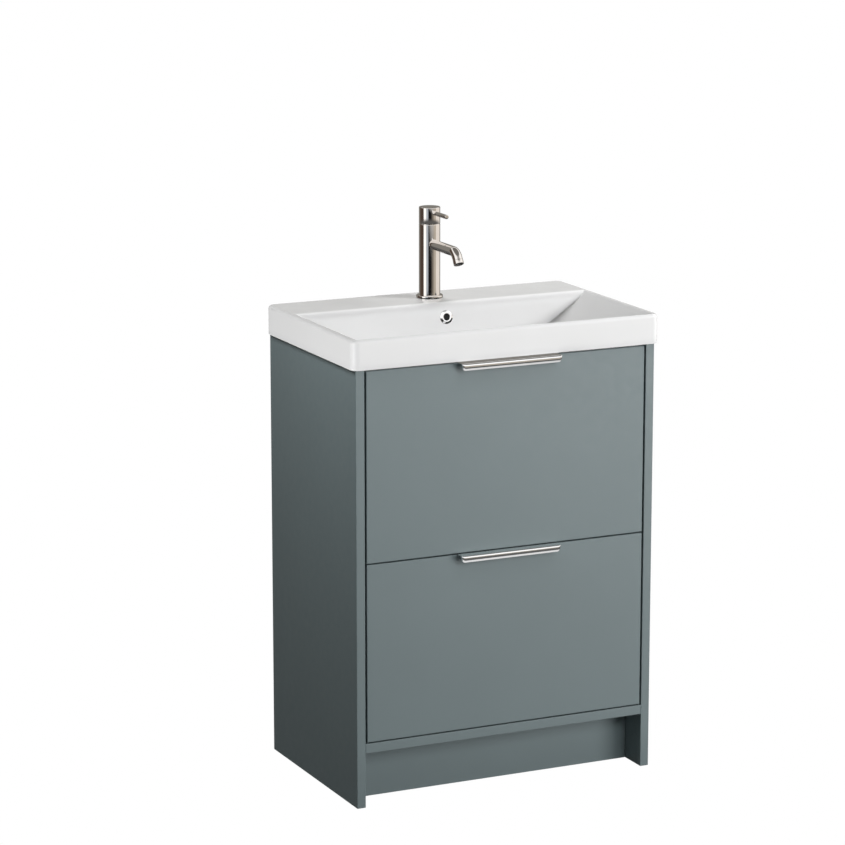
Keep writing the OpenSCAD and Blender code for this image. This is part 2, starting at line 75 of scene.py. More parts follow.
def make_camera():
    data = bpy.data.cameras.new("camera")
    data.lens = CAMERA_LENS
    data.sensor_width = 36.0
    data.clip_end = 60.0
    camera = bpy.data.objects.new("camera", data)
    ahead = Vector((math.sin(CAMERA_TURN) * math.cos(CAMERA_DIP),
                    math.cos(CAMERA_TURN) * math.cos(CAMERA_DIP),
                    -math.sin(CAMERA_DIP)))
    camera.location = CAMERA_AT
    camera.rotation_euler = ahead.to_track_quat("-Z", "Y").to_euler()
    bpy.context.scene.collection.objects.link(camera)
    bpy.context.scene.camera = camera


# ---------------------------------------------------------------------------
# Materials
# ---------------------------------------------------------------------------

def put(tree, socket, value):
    """Links another node's output to a socket, or sets the socket's own value."""
    if isinstance(value, bpy.types.NodeSocket):
        tree.links.new(value, socket)
    else:
        socket.default_value = value


def add_node(tree, kind, inputs=None, **settings):
    """Makes a shader node, with its settings and its inputs."""
    node = tree.nodes.new("ShaderNode" + kind)
    for key, value in settings.items():
        setattr(node, key, value)
    for key, value in (inputs or {}).items():
        put(tree, node.inputs[key], value)
    return node


class Shader:
    """One Principled material and short ways to add to it."""

    def __init__(self, name):
        self.material = bpy.data.materials.new(name)
        self.material.use_nodes = True
        self.tree = self.material.node_tree
        self.surface = self.tree.nodes["Principled BSDF"]
        self.place = self.add("TexCoord").outputs["Object"]

    def add(self, kind, inputs=None, **settings):
        return add_node(self.tree, kind, inputs, **settings)

    def set(self, **values):
        for key, value in values.items():
            put(self.tree, self.surface.inputs[key.replace("_", " ")], value)

    def noise(self, scale, stretch=(1, 1, 1), detail=2.0, roughness=0.5):
        where = self.add("Mapping", {"Vector": self.place, "Scale": stretch}).outputs[0]
        node = self.add("TexNoise", {"Vector": where, "Scale": scale, "Detail": detail,
                                     "Roughness": roughness})
        return node.outputs["Fac"]

    def spread(self, value, low, high, start=0.3, end=0.7):
        """Maps start..end of a value to low..high."""
        node = self.add("MapRange", {"Value": value, "From Min": start, "From Max": end,
                                     "To Min": low, "To Max": high})
        return node.outputs["Result"]

    def blend(self, fac, a, b):
        """One colour where fac is 0 and another where it is 1."""
        return self.add("Mix", {0: fac, 6: (*a, 1), 7: (*b, 1)}, data_type="RGBA").outputs[2]

    def bump(self, height, strength, distance, under=None):
        inputs = {"Height": height, "Strength": strength, "Distance": distance}
        if under is not None:
            inputs["Normal"] = under
        return self.add("Bump", inputs).outputs["Normal"]


def shades(colour, amount):
    """A slightly darker and a slightly lighter version of one colour."""
    return [tuple(c * k for c in colour) for k in (1 - amount, 1 + amount)]


def lacquer():
    """Sprayed satin lacquer: faint clouding and a fine orange peel."""
    s = Shader("lacquer")
    cloud = s.spread(s.noise(5, detail=4), 0, 1)
    base = s.blend(cloud, *shades((0.168, 0.212, 0.220), 0.02))
    rough = s.spread(s.noise(60, detail=3), 0.40, 0.48)
    peel = s.bump(s.noise(700, detail=1), 0.12, 0.00008)
    s.set(Base_Color=base, Roughness=rough, Normal=peel, IOR=1.47)
    return s.material


def melamine():
    """White melamine facing with a pearl texture."""
    s = Shader("melamine")
    base = s.blend(s.spread(s.noise(9, detail=3), 0, 1), *shades((0.74, 0.74, 0.72), 0.02))
    rough = s.spread(s.noise(300), 0.48, 0.6)
    pearl = s.bump(s.noise(1400, detail=2), 0.25, 0.00008)
    s.set(Base_Color=base, Roughness=rough, Normal=pearl)
    return s.material


def linen_board():
    """Drawer bottom with a printed linen texture."""
    s = Shader("linen_board")
    warp = s.noise(1, stretch=(1500, 60, 60), detail=1)
    weft = s.noise(1, stretch=(60, 1500, 60), detail=1)
    weave = s.add("Math", {0: warp, 1: weft}, operation="ADD").outputs[0]
    base = s.blend(s.spread(weave, 0, 1, 0.7, 1.3), (0.56, 0.56, 0.54), (0.68, 0.68, 0.66))
    s.set(Base_Color=base, Roughness=0.6, Normal=s.bump(weave, 0.2, 0.0001))
    return s.material


def zinc():
    """Zinc-plated pressed steel, drawn along its length."""
    s = Shader("zinc")
    streak = s.noise(1, stretch=(900, 18, 900), detail=3)
    patch = s.noise(40, detail=4)
    base = s.blend(s.spread(patch, 0, 1), (0.52, 0.53, 0.55), (0.66, 0.67, 0.68))
    rough = s.spread(streak, 0.24, 0.42)
    s.set(Base_Color=base, Roughness=rough, Metallic=1.0, Normal=s.bump(streak, 0.12, 0.0001))
    return s.material


def chrome():
    """Polished chrome plate with a faint haze."""
    s = Shader("chrome")
    haze = s.noise(90, detail=4)
    base = s.blend(s.spread(haze, 0, 1), (0.83, 0.83, 0.83), (0.88, 0.88, 0.88))
    rough = s.spread(haze, 0.05, 0.11)
    s.set(Base_Color=base, Roughness=rough, Metallic=1.0,
          Normal=s.bump(s.noise(160, detail=1), 0.03, 0.0001))
    return s.material


def nickel(name, stretch):
    """Warm polished nickel with very fine brushing along one direction."""
    s = Shader(name)
    brush = s.noise(1, stretch=stretch, detail=3, roughness=0.6)
    cloud = s.noise(30, detail=3)
    base = s.blend(s.spread(cloud, 0, 1), (0.72, 0.685, 0.65), (0.77, 0.735, 0.70))
    rough = s.spread(brush, 0.045, 0.09)
    s.set(Base_Color=base, Roughness=rough, Metallic=1.0, Normal=s.bump(brush, 0.03, 0.00005))
    return s.material


def glaze():
    """Glossy white glaze over fired clay: gentle waves."""
    s = Shader("glaze")
    cloud = s.spread(s.noise(6, detail=3), 0, 1)
    base = s.blend(cloud, *shades((0.80, 0.80, 0.80), 0.012))
    rough = s.spread(s.noise(35, detail=3), 0.10, 0.17)
    wave = s.bump(s.noise(28, detail=1), 0.04, 0.0006)
    s.set(Base_Color=base, Roughness=rough, Normal=wave, IOR=1.5, Coat_Weight=0.25,
          Coat_Roughness=0.04)
    return s.material


def plastic(name, colour, rough):
    """Moulded plastic with a fine spark texture."""
    s = Shader(name)
    base = s.blend(s.spread(s.noise(14, detail=3), 0, 1), *shades(colour, 0.03))
    spark = s.noise(1800, detail=2)
    s.set(Base_Color=base, Roughness=s.spread(spark, rough - 0.06, rough + 0.06),
          Normal=s.bump(spark, 0.15, 0.00006))
    return s.material


def brass():
    """Turned brass with tool marks round its axis."""
    s = Shader("brass")
    marks = s.noise(1, stretch=(40, 40, 2500), detail=2)
    base = s.blend(s.spread(marks, 0, 1), (0.62, 0.46, 0.22), (0.72, 0.55, 0.29))
    s.set(Base_Color=base, Roughness=s.spread(marks, 0.2, 0.34), Metallic=1.0,
          Normal=s.bump(marks, 0.1, 0.00008))
    return s.material


MATERIALS = {
    "lacquered_board": lacquer(),
    "white_board": melamine(),
    "drawer_bottom": linen_board(),
    "zinc_steel": zinc(),
    "polished_chrome": chrome(),
    "white_ceramic": glaze(),
    "white_plastic": plastic("white_plastic", (0.74, 0.74, 0.73), 0.42),
    "brushed_nickel": nickel("nickel_turned", (60, 60, 3000)),
    "cartridge_plastic": plastic("dark_plastic", (0.05, 0.05, 0.05), 0.5),
    "spindle_brass": brass(),
}


def dress_nodes():
    """Gives each CAD node the material of its slot."""
    for part in frame["record"]["subparts"]:
        node, slot = NODES[part["node"]], part["material_slot"]
        node.data.materials.clear()
        node.data.materials.append(MATERIALS[slot])


# ---------------------------------------------------------------------------
# Mesh tools
# ---------------------------------------------------------------------------

ARC_STEPS = 6


def rounded(corners, closed=False, steps=ARC_STEPS):
    """A path of (a, b, radius) corners with each corner turned into an arc."""
    path = []
    count = len(corners)
    for i, (a, b, radius) in enumerate(corners):
        here = np.array((a, b), float)
        at_end = not closed and i in (0, count - 1)
        if at_end or radius <= 0:
            path.append(here)
            continue
        to_last = np.array(corners[i - 1][:2], float) - here
        to_next = np.array(corners[(i + 1) % count][:2], float) - here
        room_last, room_next = np.linalg.norm(to_last), np.linalg.norm(to_next)
        to_last, to_next = to_last / room_last, to_next / room_next
        half = math.acos(np.clip(to_last @ to_next, -1, 1)) / 2
        reach = min(radius / math.tan(half), 0.49 * room_last, 0.49 * room_next)
        radius = reach * math.tan(half)
        middle = here + (to_last + to_next) / np.linalg.norm(to_last + to_next) * radius / math.sin(half)
        start = here + to_last * reach - middle
        end = here + to_next * reach - middle
        turn = math.pi - 2 * half
        for k in range(steps + 1):
            t = k / steps
            path.append(middle + (math.sin((1 - t) * turn) * start + math.sin(t * turn) * end)
                        / math.sin(turn))
    return np.array(path)


def mesh_object(name, points, faces, slot, body, stands_for=(), sharp=35, material=None):
    """A closed smooth mesh that rides on a body and takes a record slot."""
    mesh = bpy.data.meshes.new(name)
    mesh.from_pydata([tuple(p) for p in points], [], faces)
    work = bmesh.new()
    work.from_mesh(mesh)
    bmesh.ops.remove_doubles(work, verts=work.verts, dist=1e-7)
    bmesh.ops.recalc_face_normals(work, faces=work.faces)
    work.to_mesh(mesh)
    work.free()
    mesh.polygons.foreach_set("use_smooth", [True] * len(mesh.polygons))
    mesh.set_sharp_from_angle(angle=math.radians(sharp))
    mesh.materials.append(material or MATERIALS[slot])
    piece = bpy.data.objects.new(name, mesh)
    bpy.context.scene.collection.objects.link(piece)
    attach(piece, body)
    if stands_for:
        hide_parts(*stands_for)
    return piece


def stitch(rings, closed_rings=True, closed_ends=False):
    """Quads between rings of equal length."""
    count = len(rings[0])
    faces = []
    spans = len(rings) if closed_ends else len(rings) - 1
    for i in range(spans):
        j = (i + 1) % len(rings)
        for k in range(count if closed_rings else count - 1):
            n = (k + 1) % count
            faces.append((i * count + k, i * count + n, j * count + n, j * count + k))
    return [tuple(p) for ring in rings for p in ring], faces


def turned(name, profile, place, slot, body, stands_for=(), segments=96, **more):
    """A lathe shape: a closed profile of (radius, height) in mm, turned about local Z."""
    rings = []
    for i in range(segments):
        a = 2 * math.pi * i / segments
        rings.append([place @ Vector((r * MM * math.cos(a), r * MM * math.sin(a), h * MM))
                      for r, h in profile])
    points, faces = stitch(rings, closed_rings=True, closed_ends=True)
    return mesh_object(name, points, faces, slot, body, stands_for, **more)


def swept(name, path, radius, bore, slot, body, stands_for=(), segments=48, **more):
    """A tube with a wall along a path in the YZ plane, open at both ends."""
    def ring(i, r):
        ahead = (path[min(i + 1, len(path) - 1)] - path[max(i - 1, 0)]).normalized()
        up = Vector((1, 0, 0)).cross(ahead)
        angles = [2 * math.pi * k / segments for k in range(segments)]
        return [path[i] + r * (math.cos(a) * Vector((1, 0, 0)) + math.sin(a) * up) for a in angles]
    outside = [ring(i, radius) for i in range(len(path))]
    inside = [ring(i, bore) for i in reversed(range(len(path)))]
    points, faces = stitch(outside + inside, closed_ends=True)
    return mesh_object(name, points, faces, slot, body, stands_for, **more)


def cut(piece, operation, cutter):
    """Applies a boolean to a piece's mesh and removes the cutter."""
    step = piece.modifiers.new(operation, "BOOLEAN")
    step.operation = operation
    step.solver = "EXACT"
    step.object = cutter
    graph = bpy.context.evaluated_depsgraph_get()
    result = bpy.data.meshes.new_from_object(piece.evaluated_get(graph), depsgraph=graph)
    piece.modifiers.clear()
    piece.data = result
    bpy.data.objects.remove(cutter)


def plain_cylinder(place, radius, low, high, segments=64):
    """A throwaway solid for a boolean, from one height to another along local Z, in mm."""
    mesh = bpy.data.meshes.new("tool")
    work = bmesh.new()
    bmesh.ops.create_cone(work, cap_ends=True, segments=segments, radius1=radius * MM,
                          radius2=radius * MM, depth=(high - low) * MM,
                          matrix=place @ Matrix.Translation((0, 0, (high + low) / 2 * MM)))
    work.to_mesh(mesh)
    work.free()
    tool = bpy.data.objects.new("tool", mesh)
    bpy.context.scene.collection.objects.link(tool)
    return tool


# ---------------------------------------------------------------------------
# Boards
# ---------------------------------------------------------------------------

# Material slot: how far its edges are rounded
EDGE_ROUNDS = {
    "lacquered_board": 1.0,
    "white_board": 0.6,
    "drawer_bottom": 0.4,
    "zinc_steel": 0.3,
    "white_plastic": 0.6,
}
SHARP_FROM = math.radians(40)                # only edges that turn more than this are rounded


def soften_boards():
    """Every board, bracket, runner and plastic piece gets slightly rounded edges."""
    for part in frame["record"]["subparts"]:
        width = EDGE_ROUNDS.get(part["material_slot"])
        if width is None:
            continue
        node = NODES[part["node"]]
        weld = node.modifiers.new("weld", "WELD")
        weld.merge_threshold = 1e-5
        flat = node.modifiers.new("flat", "DECIMATE")
        flat.decimate_type = "DISSOLVE"
        flat.angle_limit = math.radians(1)
        bevel = node.modifiers.new("bevel", "BEVEL")
        bevel.width = width * MM
        bevel.segments = 3
        bevel.limit_method = "ANGLE"
        bevel.angle_limit = SHARP_FROM
        bevel.use_clamp_overlap = True
        bevel.harden_normals = False
        shade = node.modifiers.new("shade", "WEIGHTED_NORMAL")
        shade.keep_sharp = False
        shade.weight = 80


# ---------------------------------------------------------------------------
# Basin
# ---------------------------------------------------------------------------

basin_low, basin_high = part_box("basin")
RIM = basin_high.z / MM
SIDE = basin_high.x / MM
FRONT = basin_low.y / MM
BACK = basin_high.y / MM
SKIRT_FOOT = RIM - 55
OUTER_CORNER = 15.0
SKIRT = 10.0                                 # thickness of the outer band
RIM_WIDTH = 9.0
TOP_ROUND = 6.5                              # radius of the rim's outer edge
CREASE = 9.0                                 # softness of the creases between the bowl's walls
DECK_EDGE = BACK - 129.0
BOWL_FLOOR = RIM - 95
TAP_Y = 145.0
TAP_HOLE_R = 17.5
WASTE_Y = -45.0
WASTE_HOLE_R = 22.5
WASTE_BOSS_R = 36.0
LEAN = math.radians(10.1)                    # lean of the bowl's back wall
OVERFLOW_HOLE_R = 7.5

# Outlines across and along the bowl, and of its underside: (distance, height, corner radius)
BOWL_SIDE = [(0, BOWL_FLOOR, 0), (46, BOWL_FLOOR, 30), (155, RIM - 90, 30), (210, RIM - 54, 30),
             (SIDE - RIM_WIDTH, RIM, 9), (SIDE + 1, RIM, 0)]
BOWL_LENGTH = [(FRONT - 1, RIM, 0), (FRONT + RIM_WIDTH, RIM, 10), (FRONT + 58.5, RIM - 53, 40),
               (FRONT + 83.5, RIM - 86, 20), (WASTE_Y - 46, BOWL_FLOOR, 20),
               (WASTE_Y + 46, BOWL_FLOOR, 20), (49.5, RIM - 92, 10), (62, RIM - 80, 12),
               (DECK_EDGE, RIM, 20), (BACK + 1, RIM, 0)]
UNDER_SIDE = [(0, BOWL_FLOOR - 10, 0), (46, BOWL_FLOOR - 10, 30), (160, RIM - 100, 30),
              (216, RIM - 64, 20), (SIDE - 8, RIM - 12, 4), (SIDE + 1, RIM - 12, 0)]
UNDER_LENGTH = [(FRONT - 1, RIM - 10, 0), (FRONT + 3, RIM - 10, 4), (FRONT + 50, RIM - 60, 30),
                (FRONT + 77, RIM - 97, 15), (WASTE_Y - 50, BOWL_FLOOR - 10, 20),
                (WASTE_Y + 50, BOWL_FLOOR - 10, 20), (54.5, RIM - 103, 10), (72.5, RIM - 87, 12),
                (86.5, RIM - 17, 3), (BACK + 1, RIM - 17, 0)]


def height_of(outline, distance):
    path = rounded(outline, steps=10)
    return np.interp(distance, path[:, 0], path[:, 1])


def bowl_height(x, y, side, length, crease, top):
    """The higher of two outlines, blended where they meet; the blend dies out at the rim."""
    a, b = height_of(side, np.abs(x)), height_of(length, y)
    blend = crease * np.clip((top - np.maximum(a, b)) / 18, 0.02, 1)
    h = np.clip(0.5 + 0.5 * (a - b) / blend, 0, 1)
    return np.minimum(b + (a - b) * h + blend * h * (1 - h), top)


def edge_distance(x, y, half_x, y0, y1, radius):
    """How far a point lies inside a rectangle with round corners."""
    mid, half_y = (y0 + y1) / 2, (y1 - y0) / 2
    qx = np.abs(x) - half_x + radius
    qy = np.abs(y - mid) - half_y + radius
    return radius - np.hypot(np.maximum(qx, 0), np.maximum(qy, 0)) - np.minimum(np.maximum(qx, qy), 0)


def round_corners(x, y, half_x, y0, y1, radius):
    """Moves grid points so that a rectangle's corners follow arcs."""
    mid, half_y = (y0 + y1) / 2, (y1 - y0) / 2
    u = np.clip((np.abs(x) - half_x + radius) / radius, 0, 1)
    v = np.clip((np.abs(y - mid) - half_y + radius) / radius, 0, 1)
    pull_x = radius * u * (1 - np.sqrt(1 - v * v / 2))
    pull_y = radius * v * (1 - np.sqrt(1 - u * u / 2))
    return x - np.sign(x) * pull_x, y - np.sign(y - mid) * pull_y


def grid_lines(low, high, dense):
    """Grid lines: closer near both ends and in the dense stretches, given as (from, to, step)."""
    near = [TOP_ROUND * (1 - math.cos(math.radians(a))) for a in range(0, 91, 10)]
    near += [4.7, 5.6, 6.5, 7.4, 8.2, 9.0, 9.8, 10.6, 11.5, 12.5, 13.7, 15.0]
    lines = [low + d for d in near] + [high - d for d in near]
    reach = near[-1]
    lines += list(np.arange(low + reach + 3.5, high - reach - 2, 3.5))
    for start, end, step in dense:
        lines = [t for t in lines if not start <= t <= end]
        lines += list(np.arange(start, end + step / 2, step))
    return np.array(sorted(lines))


def basin_surfaces():
    """The basin's top and its underside, as two grids of points with the same rows and columns."""
    xs = grid_lines(-SIDE, SIDE, [])
    ys = grid_lines(FRONT, BACK, [(48, 92, 1.0)])
    gx, gy = np.meshgrid(xs, ys, indexing="ij")
    top_x, top_y = round_corners(gx, gy, SIDE, FRONT, BACK, OUTER_CORNER)
    top_z = bowl_height(top_x, top_y, BOWL_SIDE, BOWL_LENGTH, CREASE, RIM)
    inset = np.clip(edge_distance(top_x, top_y, SIDE, FRONT, BACK, OUTER_CORNER), 0, TOP_ROUND)
    top_z = np.minimum(top_z, RIM - TOP_ROUND + np.sqrt(TOP_ROUND**2 - (TOP_ROUND - inset)**2))

    squeeze_x = (SIDE - SKIRT) / SIDE
    mid = (FRONT + BACK) / 2
    squeeze_y = (BACK - FRONT - 2 * SKIRT) / (BACK - FRONT)
    low_x, low_y = round_corners(gx * squeeze_x, mid + (gy - mid) * squeeze_y, SIDE - SKIRT,
                                 FRONT + SKIRT, BACK - SKIRT, OUTER_CORNER - SKIRT)
    low_z = bowl_height(low_x, low_y, UNDER_SIDE, UNDER_LENGTH, CREASE, RIM - 10)
    return (top_x, top_y, top_z), (low_x, low_y, low_z)


def band_levels():
    """How far in and how high each line of the outer band runs, from the top down."""
    drop = RIM - TOP_ROUND - SKIRT_FOOT
    levels = [(0, RIM - TOP_ROUND - drop * f) for f in (0.25, 0.5, 0.75, 0.97)]
    return levels + [(0.3, SKIRT_FOOT + 0.35), (1.0, SKIRT_FOOT)]


def basin_shell():
    """Points and faces of one closed shell: top, outer band and hollow underside."""
    top, low = basin_surfaces()
    nx, ny = top[0].shape
    border = ([(i, 0) for i in range(nx)] + [(nx - 1, j) for j in range(1, ny)]
              + [(i, ny - 1) for i in range(nx - 2, -1, -1)] + [(0, j) for j in range(ny - 2, 0, -1)])
    edge = np.array([(top[0][i, j], top[1][i, j]) for i, j in border])
    inner = np.array([(low[0][i, j], low[1][i, j]) for i, j in border])
    ahead = np.roll(edge, -1, 0) - np.roll(edge, 1, 0)
    outward = np.stack([ahead[:, 1], -ahead[:, 0]], 1)
    outward /= np.linalg.norm(outward, axis=1)[:, None]

    points = list(zip(*(axis.flat for axis in top)))
    under_start = len(points)
    points += zip(*(axis.flat for axis in low))
    faces = []
    for i in range(nx - 1):
        for j in range(ny - 1):
            corners = (i * ny + j, (i + 1) * ny + j, (i + 1) * ny + j + 1, i * ny + j + 1)
            faces.append(corners)
            faces.append(tuple(under_start + k for k in reversed(corners)))

    loops = [[i * ny + j for i, j in border]]
    for inward, z in band_levels():
        loops.append(range(len(points), len(points) + len(edge)))
        points += [(x, y, z) for x, y in edge - outward * inward]
    for z in (SKIRT_FOOT, SKIRT_FOOT + 20):
        loops.append(range(len(points), len(points) + len(inner)))
        points += [(x, y, z) for x, y in inner]
    loops.append([under_start + i * ny + j for i, j in border])
    for above, below in zip(loops, loops[1:]):
        for k in range(len(border)):
            n = (k + 1) % len(border)
            faces.append((above[k], below[k], below[n], above[n]))
    return points, faces


def basin():
    """The ceramic body with its holes for the waste, the tap and the overflow."""
    points, faces = basin_shell()
    piece = mesh_object("basin_body", [Vector(p) * MM for p in points], faces, "white_ceramic",
                        "carcass", ["basin"])
    at_waste = Matrix.Translation((0, WASTE_Y * MM, 0))
    cut(piece, "UNION", plain_cylinder(at_waste, WASTE_BOSS_R, BOWL_FLOOR - 28, BOWL_FLOOR - 4))
    cut(piece, "DIFFERENCE", plain_cylinder(at_waste, WASTE_HOLE_R, BOWL_FLOOR - 40, BOWL_FLOOR + 10))
    at_tap = Matrix.Translation((0, TAP_Y * MM, 0))
    cut(piece, "DIFFERENCE", plain_cylinder(at_tap, TAP_HOLE_R, RIM - 30, RIM + 5))
    cut(piece, "DIFFERENCE", plain_cylinder(overflow_place(), OVERFLOW_HOLE_R, -6, 22))
    piece.data.set_sharp_from_angle(angle=math.radians(35))
    piece.visible_glossy = False


def overflow_place():
    """Local Z runs into the bowl's back wall, square to it."""
    return (Matrix.Translation((0, (BACK - 134) * MM, (RIM - 26) * MM))
            @ Matrix.Rotation(-math.pi / 2 - LEAN, 4, "X"))


def overflow():
    """A domed ring in the hole, with a dark disc far inside it; the disc is painted shade that stands in
    for the unlit overflow passage.
    """
    ring = rounded([(6.3, -1.7, 0.9), (9, -1.7, 2.0), (12.8, -0.2, 0.3), (12.8, 0.3, 0.1), (7.3, 0.3, 0.1),
                    (7.3, 13, 0.1), (6.3, 13, 0.1)], closed=True)
    turned("overflow_bezel", ring, overflow_place(), "polished_chrome", "carcass",
           ["overflow_ring"])
    # Dark disc 12 mm into the hole: painted shade in place of the real basin's dark overflow passage.
    shade_disc = [(0.01, 12.0), (7.2, 12.0), (7.2, 13.0), (0.01, 13.0)]
    turned("overflow_shade_disc", shade_disc, overflow_place(), "cartridge_plastic", "carcass")


def waste():
    """The flange in the bowl's floor and the domed plug over it."""
    at = Matrix.Translation((0, WASTE_Y * MM, BOWL_FLOOR * MM))
    flange = rounded([(18, 0.05, 0), (32, 0.05, 0.3), (32, 1.2, 0.8), (29, 3, 1.5), (21, 2.6, 1),
                      (18, 1.0, 0.8)], closed=True)
    turned("waste_dish", flange, at, "polished_chrome", "carcass", ["waste_flange"])
    dome = rounded([(0.01, -40, 0), (4, -40, 0.5), (4, 3.3, 0.5), (28.5, 3.3, 0.4), (30, 4.2, 0.7),
                    (29, 5.6, 1.0), (15, 7.2, 20), (0.01, 7.5, 0)])
    turned("waste_dome", dome, at, "polished_chrome", "waste_plug", ["waste_plug"])


# ---------------------------------------------------------------------------
# Tap
# ---------------------------------------------------------------------------

TAP_AXIS = Matrix.Translation((0, TAP_Y * MM, 0))
TAP_R = 20.0
TAP_BORE_R = 17.75                           # bore for the cartridge
STUD_BORE_R = 4.0
COLLAR_R = 25.0
COLLAR_H = 5.0
JOINT_Z = RIM + 140                          # between the body and the lever cap
JOINT_HALF = 0.4
CAP_TOP = RIM + 171.4
CAP_WALL_TOP = CAP_TOP - 15.4
LEVER_R = 4.0
SPOUT_Z = RIM + 102.5
SPOUT_R = 9.4
SPOUT_BORE = 6.5
SPOUT_REACH = 102.0                          # from the tap's axis to the start of the bend
BEND_R = 20.0
BEND = math.radians(58)
SPOUT_TAIL = 6.0                             # straight end after the bend
NOZZLE_R = 9.6
NOZZLE_L = 8.0
STRAINER_R = 8.0


def spout_point(distance):
    """A point on the spout's centre line, measured forward from the tap's axis."""
    bend_l = BEND * BEND_R
    if distance <= SPOUT_REACH:
        y, z = distance, 0.0
    elif distance <= SPOUT_REACH + bend_l:
        a = (distance - SPOUT_REACH) / BEND_R
        y, z = SPOUT_REACH + BEND_R * math.sin(a), -BEND_R * (1 - math.cos(a))
    else:
        rest = distance - SPOUT_REACH - bend_l
        y = SPOUT_REACH + BEND_R * math.sin(BEND) + rest * math.cos(BEND)
        z = -BEND_R * (1 - math.cos(BEND)) - rest * math.sin(BEND)
    return Vector((0, (TAP_Y - y) * MM, (SPOUT_Z + z) * MM))


def tap_column():
    """Base ring, body and lever cap, all turned about the tap's axis."""
    base = rounded([(TAP_R, RIM, 0), (COLLAR_R, RIM, 0.2), (COLLAR_R, RIM + COLLAR_H, 0.9),
                    (TAP_R + 0.02, RIM + COLLAR_H, 0)], closed=True)
    turned("tap_collar", base, TAP_AXIS, "brushed_nickel", "carcass", ["tap_base"])
    body_top = JOINT_Z - JOINT_HALF
    bore_end = body_top - 46
    body = rounded([(TAP_R, RIM, 0), (TAP_R, body_top, 0.9), (TAP_BORE_R, body_top, 0.3),
                    (TAP_BORE_R, bore_end, 0), (STUD_BORE_R, bore_end, 0), (STUD_BORE_R, RIM, 0)],
                   closed=True)
    turned("tap_column", body, TAP_AXIS, "brushed_nickel", "carcass", ["tap_body"], segments=128)
    cap_foot = JOINT_Z + JOINT_HALF
    cap = rounded([(0.01, CAP_TOP, 0), (TAP_R, CAP_TOP, 1.0), (TAP_R, cap_foot, 0.9),
                   (15, cap_foot, 0.3), (15, CAP_WALL_TOP, 0.5), (0.01, CAP_WALL_TOP, 0)],
                  closed=True)
    turned("tap_crown", cap, TAP_AXIS, "brushed_nickel", "mixer_handle", ["tap_cap"], segments=128)

    joint_ring = rounded([(19.4, JOINT_Z - 0.8, 0.1), (19.4, JOINT_Z + 0.8, 0.1),
                          (18, JOINT_Z + 0.8, 0.1), (18, JOINT_Z - 0.8, 0.1)], closed=True)
    turned("tap_shadow_ring", joint_ring, TAP_AXIS, "brushed_nickel", "carcass", segments=128)


def tap_lever():
    """The rod that points forward from the cap."""
    lever_low, lever_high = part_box("tap_lever")
    lever_z = (lever_low.z + lever_high.z) / 2
    along = Matrix.Translation((0, lever_high.y, lever_z)) @ Matrix.Rotation(math.pi / 2, 4, "X")
    length = (lever_high.y - lever_low.y) / MM
    rod = rounded([(0.01, 0, 0), (LEVER_R, 0, 0), (LEVER_R, length, 0.7), (0.01, length, 0)],
                  closed=True)
    turned("tap_pin", rod, along, "brushed_nickel", "mixer_handle", ["tap_lever"], segments=48,
           material=nickel("nickel_lever", (3000, 60, 3000)))


def tap_spout():
    """The bent tube, with the ring and slotted face of the aerator at its end."""
    tail = SPOUT_REACH + BEND * BEND_R + SPOUT_TAIL
    stations = list(np.linspace(TAP_R - 1.2, SPOUT_REACH, 12))
    stations += list(np.linspace(SPOUT_REACH, SPOUT_REACH + BEND * BEND_R, 15))[1:]
    stations += [tail - 4, tail]
    swept("tap_pipe", [spout_point(d) for d in stations], SPOUT_R * MM, SPOUT_BORE * MM,
          "brushed_nickel", "carcass", ["tap_spout"],
          material=nickel("nickel_spout", (3000, 60, 3000)))

    tip = (Matrix.Translation(spout_point(tail)) @ Matrix.Rotation(math.pi / 2 + BEND, 4, "X"))
    nozzle = rounded([(SPOUT_BORE, 0, 0), (NOZZLE_R - 0.5, 0, 0.2), (NOZZLE_R, 0.6, 0.3),
                      (NOZZLE_R, NOZZLE_L, 0.6), (STRAINER_R, NOZZLE_L, 0.3),
                      (STRAINER_R, 5.5, 0.3), (SPOUT_BORE, 5.5, 0)], closed=True)
    turned("tap_nozzle", nozzle, tip, "brushed_nickel", "carcass", ["tap_aerator"], segments=64)
    back, groove_floor, face = 3.2, 5.8, 6.5
    strainer = [(0.01, back), (STRAINER_R, back), (STRAINER_R, face)]
    for r in (6.4, 4.8, 3.2, 1.6):
        strainer += [(r + 0.8, face), (r + 0.5, groove_floor), (r, groove_floor), (r - 0.3, face)]
    strainer.append((0.01, face))
    turned("tap_strainer", strainer, tip, "cartridge_plastic", "carcass", segments=64)


# ---------------------------------------------------------------------------
# Handles
# ---------------------------------------------------------------------------

